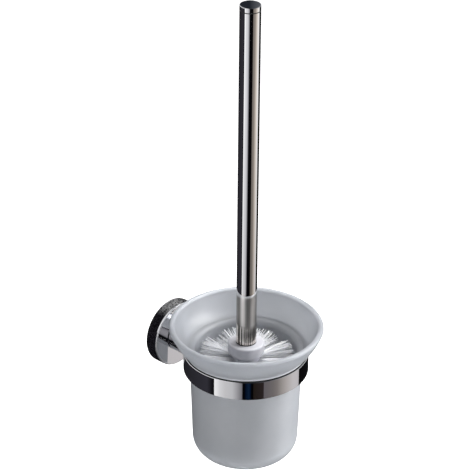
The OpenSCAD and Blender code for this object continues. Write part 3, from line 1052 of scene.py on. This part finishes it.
@dataclass
class HandleCap:
    """The turned cap that closes the handle: a thin seam lined with black as painted shade, and a
    soft crown.
    """

    axis: tuple[float, float]
    low_z: float
    top_z: float
    radius: float
    seam: float = 0.5 * MM
    seam_height: float = 0.65 * MM
    chamfer: float = 0.1 * MM
    spigot_r: float = 7.15 * MM
    spigot_len: float = 8.0 * MM
    edge: float = 0.5 * MM
    crown: float = 0.4 * MM
    sharp_angle: float = 30.0
    around: int = 96

    def profile(self) -> Profile:
        """Walk up from the spigot over the seam and the rounded edge to the crown's middle.

        The crown's height falls with the square of the share of the way out from its middle.

        Returns:
            An array of (radius, height) rows.
        """
        foot_z, seam_top = self.low_z - self.spigot_len, self.low_z + self.seam_height
        seam_r = self.radius - self.seam
        foot = np.array([
            [0.0, foot_z], [self.spigot_r, foot_z], [self.spigot_r, self.low_z],
            [seam_r, self.low_z], [seam_r, seam_top], [self.radius - self.chamfer, seam_top],
            [self.radius, seam_top + self.chamfer]])
        turn = arc((self.radius - self.edge, self.top_z - self.crown - self.edge), self.edge,
                   0.0, 84.0, 10)
        last_r, last_z = turn[-1]
        out = 1.0 - np.linspace(0.0, 1.0, 9)[1:]
        crown = np.stack([last_r * out, self.top_z - (self.top_z - last_z) * out ** 2], axis=1)
        return np.concatenate([foot, turn, crown])

    def build(self) -> Piece:
        """Revolve the cap, blacken its seam and set it in the place of the plain solid.

        Returns:
            The cap's object.
        """
        piece = revolve("turned_handle_cap", self.profile(), self.axis, self.around)
        mesh = piece.data
        CHROME.dress(piece)
        # The black rubber in the seam is painted shade: it draws the thin seam's shadow line.
        mesh.materials.append(RUBBER.material())
        middle = np.zeros(len(mesh.polygons) * 3, dtype=np.float32)
        mesh.polygons.foreach_get("center", middle)
        share = (middle[2::3] - self.low_z) / self.seam_height
        in_seam = (share > 0.1) & (share < 0.9)
        mesh.polygons.foreach_set("material_index", in_seam.astype(np.int32))
        mesh.set_sharp_from_angle(angle=math.radians(self.sharp_angle))
        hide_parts("handle_cap")
        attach(piece, Body.BRUSH.value)
        log.info("handle cap: %d faces", len(mesh.polygons))
        return piece


@dataclass
class RosetteTrim:
    """The rolled edge of the rosette's polished face: a thin round bead about its rim."""

    radius: float
    front_y: float
    bead: float = 0.85 * MM
    proud: float = 0.05 * MM

    def build(self) -> Piece:
        """Revolve a small circle about the post's line, proud of the face by a hair.

        Returns:
            The bead's object.
        """
        inset = self.bead - self.proud
        circle = arc((self.radius - inset, -self.front_y - inset), self.bead, -90.0, 270.0, 20)
        piece = revolve("rosette_rolled_edge", circle[:-1], (0.0, 0.0), lay=OUT_OF_WALL)
        EDGE.dress(piece)
        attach(piece, Body.HOLDER.value)
        log.info("rosette edge: %d faces", len(piece.data.polygons))
        return piece


@dataclass(frozen=True)
class TuftRing:
    """A ring of tufts about the handle's axis.

    At the height z the tufts' axes meet the handle's axis. The turn is the first tuft's angle,
    and the drop is the tufts' angle below the level, both in degrees. The spread is the half
    width and the half height of a tip's oval.
    """

    z: float
    turn: float
    drop: float
    count: int
    length: float
    spread: tuple[float, float]


@dataclass
class BristleHead:
    """Tufts of nylon filament that fan out from the head's core, drawn one filament at a time.

    Each ring on the dome has a count of tufts, a drop below the level in degrees and a length.
    """

    axis: tuple[float, float]
    core_r: float = 11.0 * MM
    per_row: int = 8
    turn: float = -5.0
    wall_gap: float = 0.2 * MM
    root_r: float = 2.1 * MM
    sink: float = 1.5 * MM
    row_spread: tuple[float, float] = (13.0 * MM, 7.6 * MM)
    end_spread: tuple[float, float] = (6.5 * MM, 4.6 * MM)
    dome_rings: tuple[tuple[int, float, float], ...] = (
        (8, 20.0, 24.5 * MM), (4, 60.0, 13.6 * MM))
    filament_r: float = 0.31 * MM
    tip_share: float = 0.8
    filaments: int = 104
    steps: int = 5
    scatter: float = 0.07
    uneven: float = 1.6 * MM
    bow: float = 0.35 * MM
    seed: int = 11
    rng: np.random.Generator = field(init=False)

    def __post_init__(self) -> None:
        """Start the draw of the filaments' lengths and leans."""
        self.rng = np.random.default_rng(self.seed)

    def sunflower(self, count: int) -> np.ndarray:
        """Spread points over a unit disc: radius grows as a root, angle by the golden turn.

        Args:
            count: How many points there are.

        Returns:
            An array of (x, y) rows.
        """
        number = np.arange(count)
        radius = np.sqrt((number + 0.5) / count)
        angle = number * math.pi * (3.0 - math.sqrt(5.0))
        return np.stack([radius * np.cos(angle), radius * np.sin(angle)], axis=1)

    def fan(self, out: np.ndarray, ring: TuftRing) -> np.ndarray:
        """Work out one tuft's filament paths.

        A point lies along the tuft's axis by its share of the length, and beside the axis by a
        blend from the root's disc to the tip's wider oval, by the share, plus a small bow of
        sin(pi times the share). The tips are trimmed to a cylinder about the head.

        Args:
            out: The direction in which the tuft points.
            ring: The ring that the tuft stands in.

        Returns:
            An array of filaments by path points by (x, y, z).
        """
        root = np.array([self.axis[0], self.axis[1], ring.z]) + out * self.core_r
        side = np.cross([0.0, 0.0, 1.0], out)
        side /= np.linalg.norm(side)
        rise = np.cross(out, side)
        disc = self.sunflower(self.filaments)
        tip = disc + self.rng.normal(0.0, self.scatter, (self.filaments, 2))
        tip /= np.maximum(np.linalg.norm(tip, axis=1, keepdims=True), 1.0)
        tip *= np.array(ring.spread)
        share = np.linspace(0.0, 1.0, self.steps)
        blend = share[None, :, None]
        bow = self.rng.normal(0.0, self.bow, (self.filaments, 1, 2)) * np.sin(math.pi * blend)
        beside = disc[:, None] * self.root_r * (1.0 - blend) + tip[:, None] * blend + bow
        reach = np.sqrt((self.core_r + ring.length) ** 2 - tip[:, 0] ** 2) - self.core_r
        reach -= self.rng.random(self.filaments) ** 2 * self.uneven
        along = -self.sink + share[None, :] * (reach + self.sink)[:, None]
        return root + along[..., None] * out + beside[..., :1] * side + beside[..., 1:] * rise

    def paths(self, ring: TuftRing) -> np.ndarray:
        """Work out the filament paths of a ring of tufts, one tuft after the other.

        Args:
            ring: The ring's place, tufts and spread.

        Returns:
            An array of filaments by path points by (x, y, z).
        """
        level, down = math.cos(math.radians(ring.drop)), math.sin(math.radians(ring.drop))
        angles = np.radians(ring.turn + np.arange(ring.count) * 360.0 / ring.count)
        return np.concatenate([
            self.fan(np.array([math.cos(angle) * level, math.sin(angle) * level, -down]), ring)
            for angle in angles])

    def finish_piece(self, name: str, paths: np.ndarray, node: str) -> Piece:
        """Skin the paths, dress the piece and set it in the place of its plain solids.

        Args:
            name: The piece's name.
            paths: An array of filaments by path points by (x, y, z).
            node: The node that the piece stands for.

        Returns:
            The piece.
        """
        radii = np.linspace(1.0, self.tip_share, self.steps) * self.filament_r
        piece = tubes(name, paths, np.broadcast_to(radii, paths.shape[:2]))
        NYLON.dress(piece)
        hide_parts(node)
        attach(piece, Body.BRUSH.value)
        log.info("%s: %d faces", name, len(piece.data.polygons))
        return piece

    def row_reach(self, node: str) -> float:
        """Find how far a row's solids reach along their own axes.

        Args:
            node: The row's node.

        Returns:
            The reach from the head's axis in metres.
        """
        mesh = frame["nodes"][node].data
        points = np.zeros(len(mesh.vertices) * 3, dtype=np.float32)
        mesh.vertices.foreach_get("co", points)
        points = points.reshape(-1, 3)[:, :2] - np.array(self.axis)
        angle = np.radians(self.turn + np.arange(2 * self.per_row) * 180.0 / self.per_row)
        return float((points @ np.stack([np.cos(angle), np.sin(angle)])).max())

    def build(self, rows: list[str], end: str, core: str) -> None:
        """Build every straight row as a piece, and the two rings on the dome as one more.

        Args:
            rows: The names of the straight rows' nodes.
            end: The node of the dome's tufts.
            core: The node of the core, whose lowest point gives the dome's centre.
        """
        for number, node in enumerate(rows, start=1):
            low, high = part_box(node)
            turn = self.turn + (number % 2) * 180.0 / self.per_row
            length = self.row_reach(node) - self.core_r - self.wall_gap
            row = TuftRing((low.z + high.z) / 2.0, turn, 0.0, self.per_row, length,
                           self.row_spread)
            self.finish_piece(f"bristles_row_{number}", self.paths(row), node)
        dome_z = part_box(core)[0].z + self.core_r
        dome = [self.paths(TuftRing(dome_z, self.turn + 180.0 / count, drop, count, length,
                                    self.end_spread)) for count, drop, length in self.dome_rings]
        self.finish_piece("bristles_end", np.concatenate(dome), end)


@dataclass
class Metalwork:
    """The solid metal and plastic parts, whose shapes come ready made."""

    nodes: dict[str, Piece]
    slots: dict[str, str]

    def dress(self) -> None:
        """Give each part its own finish, or else that of its material slot."""
        for name, piece in self.nodes.items():
            OWN.get(name, FINISHES[self.slots[name]]).dress(piece)
        log.info("dressed %d parts", len(self.nodes))


def main() -> None:
    """Build the camera, the studio and the set, in that order."""
    logging.basicConfig(level=logging.INFO, format="%(name)s: %(message)s")
    bpy.context.scene.view_settings.view_transform = "Standard"
    ring_low, ring_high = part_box("ring")
    axis = (float((ring_low.x + ring_high.x) / 2.0), float((ring_low.y + ring_high.y) / 2.0))
    camera = ProductCamera()
    camera.build(np.array([axis[0], axis[1], ring_low.z]))
    Studio(camera, axis).build()

    slots = {entry["node"]: entry["material_slot"] for entry in frame["record"]["subparts"]}
    Metalwork(frame["nodes"], slots).dress()

    low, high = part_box("glass_cup")
    GlassCup(axis, low.z, high.z, (high.x - low.x) / 2.0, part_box("gasket")[1].z).build()
    low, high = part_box("handle_tube")
    HandleCap(axis, high.z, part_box("handle_cap")[1].z, (high.x - low.x) / 2.0).build()
    low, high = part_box("rosette")
    RosetteTrim((high.x - low.x) / 2.0, low.y).build()
    rows = sorted(name for name in frame["nodes"] if name.startswith("tufts_row_"))
    BristleHead(axis).build(rows, "tufts_end", "head_core")

    low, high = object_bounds()


if __name__ == "__main__":
    main()
